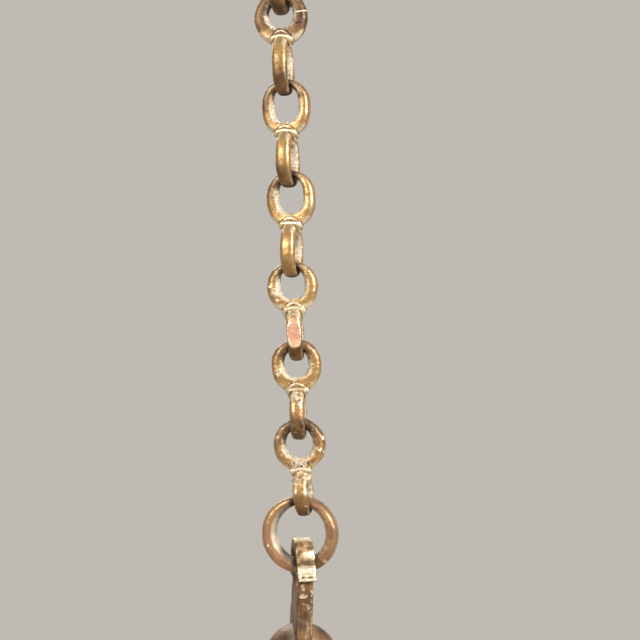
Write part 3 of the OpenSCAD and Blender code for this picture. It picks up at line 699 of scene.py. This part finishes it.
class OBJECT_OT_domed_head(bpy.types.Operator):
    """Cast the lamp's head: a flat lug on a dome"""

    bl_idname = "object.oil_lamp_domed_head"
    bl_label = "Domed Head"

    def execute(self, context):
        finish = context.scene.oil_lamp_finish
        material = brass_of(context)
        pose = Matrix.Translation(LUG_HOLE_MM * MM) @ Matrix.Rotation(math.radians(HEAD_YAW_DEG), 4, "Z")
        to_local = pose.inverted()
        turn = to_local.to_3x3()
        skin = recast("domed_head", finish.grain, HEAD_ROUNDS)
        inside, grime_and_shade, worn, crest, dust_and_sheen = [
            skin.verts.layers.float.new(mark) for mark in ("inside", "grime_and_shade", "worn", "crest", "dust_and_sheen")]
        for vert in skin.verts:
            place = to_local @ vert.co / MM
            facing = turn @ vert.normal
            edge_on = smoothstep(0.75, 0.45, abs(facing.x))
            lug = smoothstep(-4.2, -3.4, place.z)
            proud = (vert.co / MM - DOME_MIDDLE_MM).length - DOME_MM
            shank = (1 - lug) * smoothstep(0.3, 1.2, proud)
            patch = noise.noise(place / 3.2 + Vector((5.5, 1.2, 7.7)))
            streak = noise.noise(Vector((place.x / 0.9, place.y / 0.9, place.z / 9.0)))
            # The lug's narrow faces are rubbed bright, with painted highlights on its top and its shoulders; its flat
            # sides are painted in shade
            block = math.exp(-((place.z + 0.2) / 2.6) ** 2)
            brow = smoothstep(11.6, 12.8, place.z)
            vert[worn] = -0.2 + edge_on * (lug * (0.38 + 0.5 * patch + 0.4 * block) + shank * (0.22 + 0.25 * streak))
            vert[crest] = edge_on * lug * max(1.1 * block, brow, 0.24 + 0.6 * patch)
            # The shank flakes, in patches below the ledge
            scab = noise.noise(place / 2.0 + Vector((1.4, 6.2, 2.3)))
            flaky = smoothstep(-17.5, -13.0, place.z) * smoothstep(0.0, 0.3, scab)
            vert[inside] = edge_on * (0.25 * lug + shank * 0.75 * flaky)
            # Dust and a painted highlight lie on the dome beside the shank, more on its left
            side = place.x + SHANK_BESIDE_MM
            film = 0.2 + 0.22 * smoothstep(2.0, -2.0, side)
            vert[dust_and_sheen] = film * (1 - lug) * smoothstep(0.6, 0.0, proud) * smoothstep(7.5, 3.5, abs(side))
            rub = math.hypot(place.y, place.z - LUG_RUB_MM)
            groove = edge_on * math.exp(-((place.z - CUSP_MM) / 0.45) ** 2)
            # Soot and painted shade where the ring rubs; painted shade on the lug's flat sides and in the groove under
            # the crown
            vert[grime_and_shade] = 0.9 * math.exp(-(rub / 5.0) ** 2) + 0.2 * (1 - edge_on) * lug + 0.6 * groove
            # Hammered unevenness, wider than the grain of the casting
            dent = noise.noise(place / 4.0 + Vector((3.1, 8.2, 1.7))) + 0.5 * noise.noise(place / 1.8)
            vert.co += vert.normal * dent * DENT_MM * MM * (lug + shank) * max(1 - vert[grime_and_shade], 0)
        weather(skin, finish, HEAD_SEED, polish=0.2)
        finish_piece(skin, "domed_head_casting", "lamp", "lamp_brass", material, "domed_head")
        return {"FINISHED"}


class OBJECT_OT_turned_stem(bpy.types.Operator):
    """Turn the stem's pieces, the collar under the bowl and the finial"""

    bl_idname = "object.oil_lamp_turned_stem"
    bl_label = "Turned Stem"

    def execute(self, context):
        finish = context.scene.oil_lamp_finish
        material = brass_of(context, turned=True)
        for seed, node in enumerate(["stem_vase", "stem_collar", "stem_spindle", "under_collar", "pendant_finial"]):
            skin = recast(node, finish.lamp_grain, CRISP_ROUNDS)
            worn = skin.verts.layers.float.new("worn")
            for vert in skin.verts:
                vert[worn] = 0.3
            weather(skin, finish, STEM_SEED + seed)
            finish_piece(skin, node + "_turning", "lamp", "lamp_brass", material, node)
        return {"FINISHED"}


class OBJECT_OT_oil_bowl(bpy.types.Operator):
    """Cast the spouted oil bowl and the drip cup"""

    bl_idname = "object.oil_lamp_oil_bowl"
    bl_label = "Oil Bowl and Drip Cup"

    def execute(self, context):
        finish = context.scene.oil_lamp_finish
        material = brass_of(context)
        for seed, (node, grain) in enumerate([("oil_bowl", finish.bowl_grain), ("drip_cup", finish.lamp_grain)]):
            skin = recast(node, grain, CRISP_ROUNDS)
            worn = skin.verts.layers.float.new("worn")
            for vert in skin.verts:
                vert[worn] = 0.25
            weather(skin, finish, BOWL_SEED + seed)
            finish_piece(skin, node + "_casting", "lamp", "lamp_brass", material, node)
        return {"FINISHED"}


class OBJECT_OT_rod_and_washers(bpy.types.Operator):
    """Finish the tie rod, its nut and the washers, which keep their CAD shape"""

    bl_idname = "object.oil_lamp_rod_and_washers"
    bl_label = "Rod and Washers"

    def execute(self, context):
        brass = brass_of(context, turned=True)
        leather = oiled_leather()
        for node, material in [
                ("tie_rod", brass), ("round_nut", brass), ("upper_washer", leather), ("lower_washer", leather)]:
            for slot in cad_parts[node].material_slots:
                slot.material = material
        return {"FINISHED"}


class OBJECT_OT_lamp_stage(bpy.types.Operator):
    """Set up the floor, the soft light and the camera"""

    bl_idname = "object.oil_lamp_stage"
    bl_label = "Stage"

    def execute(self, context):
        scene = context.scene
        stage = scene.oil_lamp_stage

        ground = bmesh.new()
        bmesh.ops.create_circle(ground, cap_ends=True, segments=96, radius=FLOOR_RADIUS,
                                matrix=Matrix.Translation((0, 0, CAD_BOX[0][2] - FLOOR_DROP)))
        mesh = bpy.data.meshes.new("floor")
        ground.to_mesh(mesh)
        ground.free()
        paper = bpy.data.materials.new("studio_paper")
        paper.use_nodes = True
        matt = paper.node_tree.nodes["Principled BSDF"]
        matt.inputs["Base Color"].default_value = linear(stage.floor)
        matt.inputs["Roughness"].default_value = 0.9
        # The floor is as pale as the surround to the eye, without lighting the lamp from below
        matt.inputs["Emission Color"].default_value = linear(stage.backdrop)
        level = add(paper.node_tree, "ShaderNodeMapRange", {"Value": seen_by_eye(paper.node_tree)}, in_3=0.0, in_4=0.66)
        paper.node_tree.links.new(level.outputs[0], matt.inputs["Emission Strength"])
        mesh.materials.append(paper)
        floor = bpy.data.objects.new("floor", mesh)
        scene.collection.objects.link(floor)

        world = bpy.data.worlds.new("studio")
        scene.world = world
        world.use_nodes = True
        surround = world.node_tree.nodes["Background"]
        surround.inputs["Color"].default_value = linear(stage.backdrop)
        # The eye, and what gloss mirrors, meet the backdrop itself; the light it sheds on matt surfaces is softer
        level = add(world.node_tree, "ShaderNodeMapRange", {"Value": seen_by_eye(world.node_tree)}, in_3=0.2, in_4=0.75)
        world.node_tree.links.new(level.outputs[0], surround.inputs["Strength"])

        aim = Vector((0, 0, -0.16))
        for name, place, size, power in [
                ("key", (0.80, -0.45, 0.16), 0.4, 15.0),
                ("fill", (-0.42, -0.78, 0.2), 0.45, 6.4),
                ("back", (-0.5, 0.9, 0.4), 0.5, 4.0)]:
            light = bpy.data.lights.new(name, "AREA")
            light.size = size
            light.energy = power
            lamp = bpy.data.objects.new(name, light)
            lamp.location = Vector(place)
            lamp.rotation_euler = (aim - Vector(place)).to_track_quat("-Z", "Y").to_euler()
            scene.collection.objects.link(lamp)

        # The frame's middle lies beside the chain, at the height of the fourth link's lower ring
        right = Vector((math.cos(stage.azimuth), math.sin(stage.azimuth), 0))
        back = Vector((math.sin(stage.azimuth), -math.cos(stage.azimuth), 0))
        middle = Vector((0, 0, FRAME_HEIGHT)) + right * FRAME_BESIDE
        lens = bpy.data.cameras.new("camera")
        lens.lens = stage.lens
        lens.sensor_width = 36
        camera = bpy.data.objects.new("camera", lens)
        camera.location = middle + back * stage.distance
        view = (-back).to_track_quat("-Z", "Y") @ Euler((0, 0, -stage.roll)).to_quaternion()
        camera.rotation_euler = view.to_euler()
        scene.collection.objects.link(camera)
        scene.camera = camera
        scene.view_settings.view_transform = "Standard"
        return {"FINISHED"}


class VIEW3D_PT_oil_lamp(bpy.types.Panel):
    """Sizes, colours and the pieces in the order they are made"""

    bl_label = "Hanging Oil Lamp"
    bl_space_type = "VIEW_3D"
    bl_region_type = "UI"
    bl_category = "Oil Lamp"

    def draw(self, context):
        scene = context.scene
        for group in (scene.oil_lamp_finish, scene.oil_lamp_colours, scene.oil_lamp_stage):
            box = self.layout.box()
            for name in group.__annotations__:
                box.prop(group, name)
        for operator in OPERATORS:
            self.layout.operator(operator.bl_idname)


OPERATORS = (
    OBJECT_OT_lamp_stage,
    OBJECT_OT_cast_links,
    OBJECT_OT_suspension_ring,
    OBJECT_OT_domed_head,
    OBJECT_OT_turned_stem,
    OBJECT_OT_oil_bowl,
    OBJECT_OT_rod_and_washers,
)
GROUPS = (OBJECT_PG_cast_finish, OBJECT_PG_brass_colours, OBJECT_PG_lamp_stage)


def register():
    for cls in GROUPS + OPERATORS + (VIEW3D_PT_oil_lamp,):
        bpy.utils.register_class(cls)
    bpy.types.Scene.oil_lamp_finish = bpy.props.PointerProperty(type=OBJECT_PG_cast_finish)
    bpy.types.Scene.oil_lamp_colours = bpy.props.PointerProperty(type=OBJECT_PG_brass_colours)
    bpy.types.Scene.oil_lamp_stage = bpy.props.PointerProperty(type=OBJECT_PG_lamp_stage)


def unregister():
    del bpy.types.Scene.oil_lamp_stage
    del bpy.types.Scene.oil_lamp_colours
    del bpy.types.Scene.oil_lamp_finish
    for cls in reversed(GROUPS + OPERATORS + (VIEW3D_PT_oil_lamp,)):
        bpy.utils.unregister_class(cls)


def main():
    """Makes the stage and every piece."""
    register()
    bpy.ops.object.oil_lamp_stage()
    bpy.ops.object.oil_lamp_cast_links()
    bpy.ops.object.oil_lamp_suspension_ring()
    bpy.ops.object.oil_lamp_domed_head()
    bpy.ops.object.oil_lamp_turned_stem()
    bpy.ops.object.oil_lamp_oil_bowl()
    bpy.ops.object.oil_lamp_rod_and_washers()


if __name__ == "__main__":
    main()
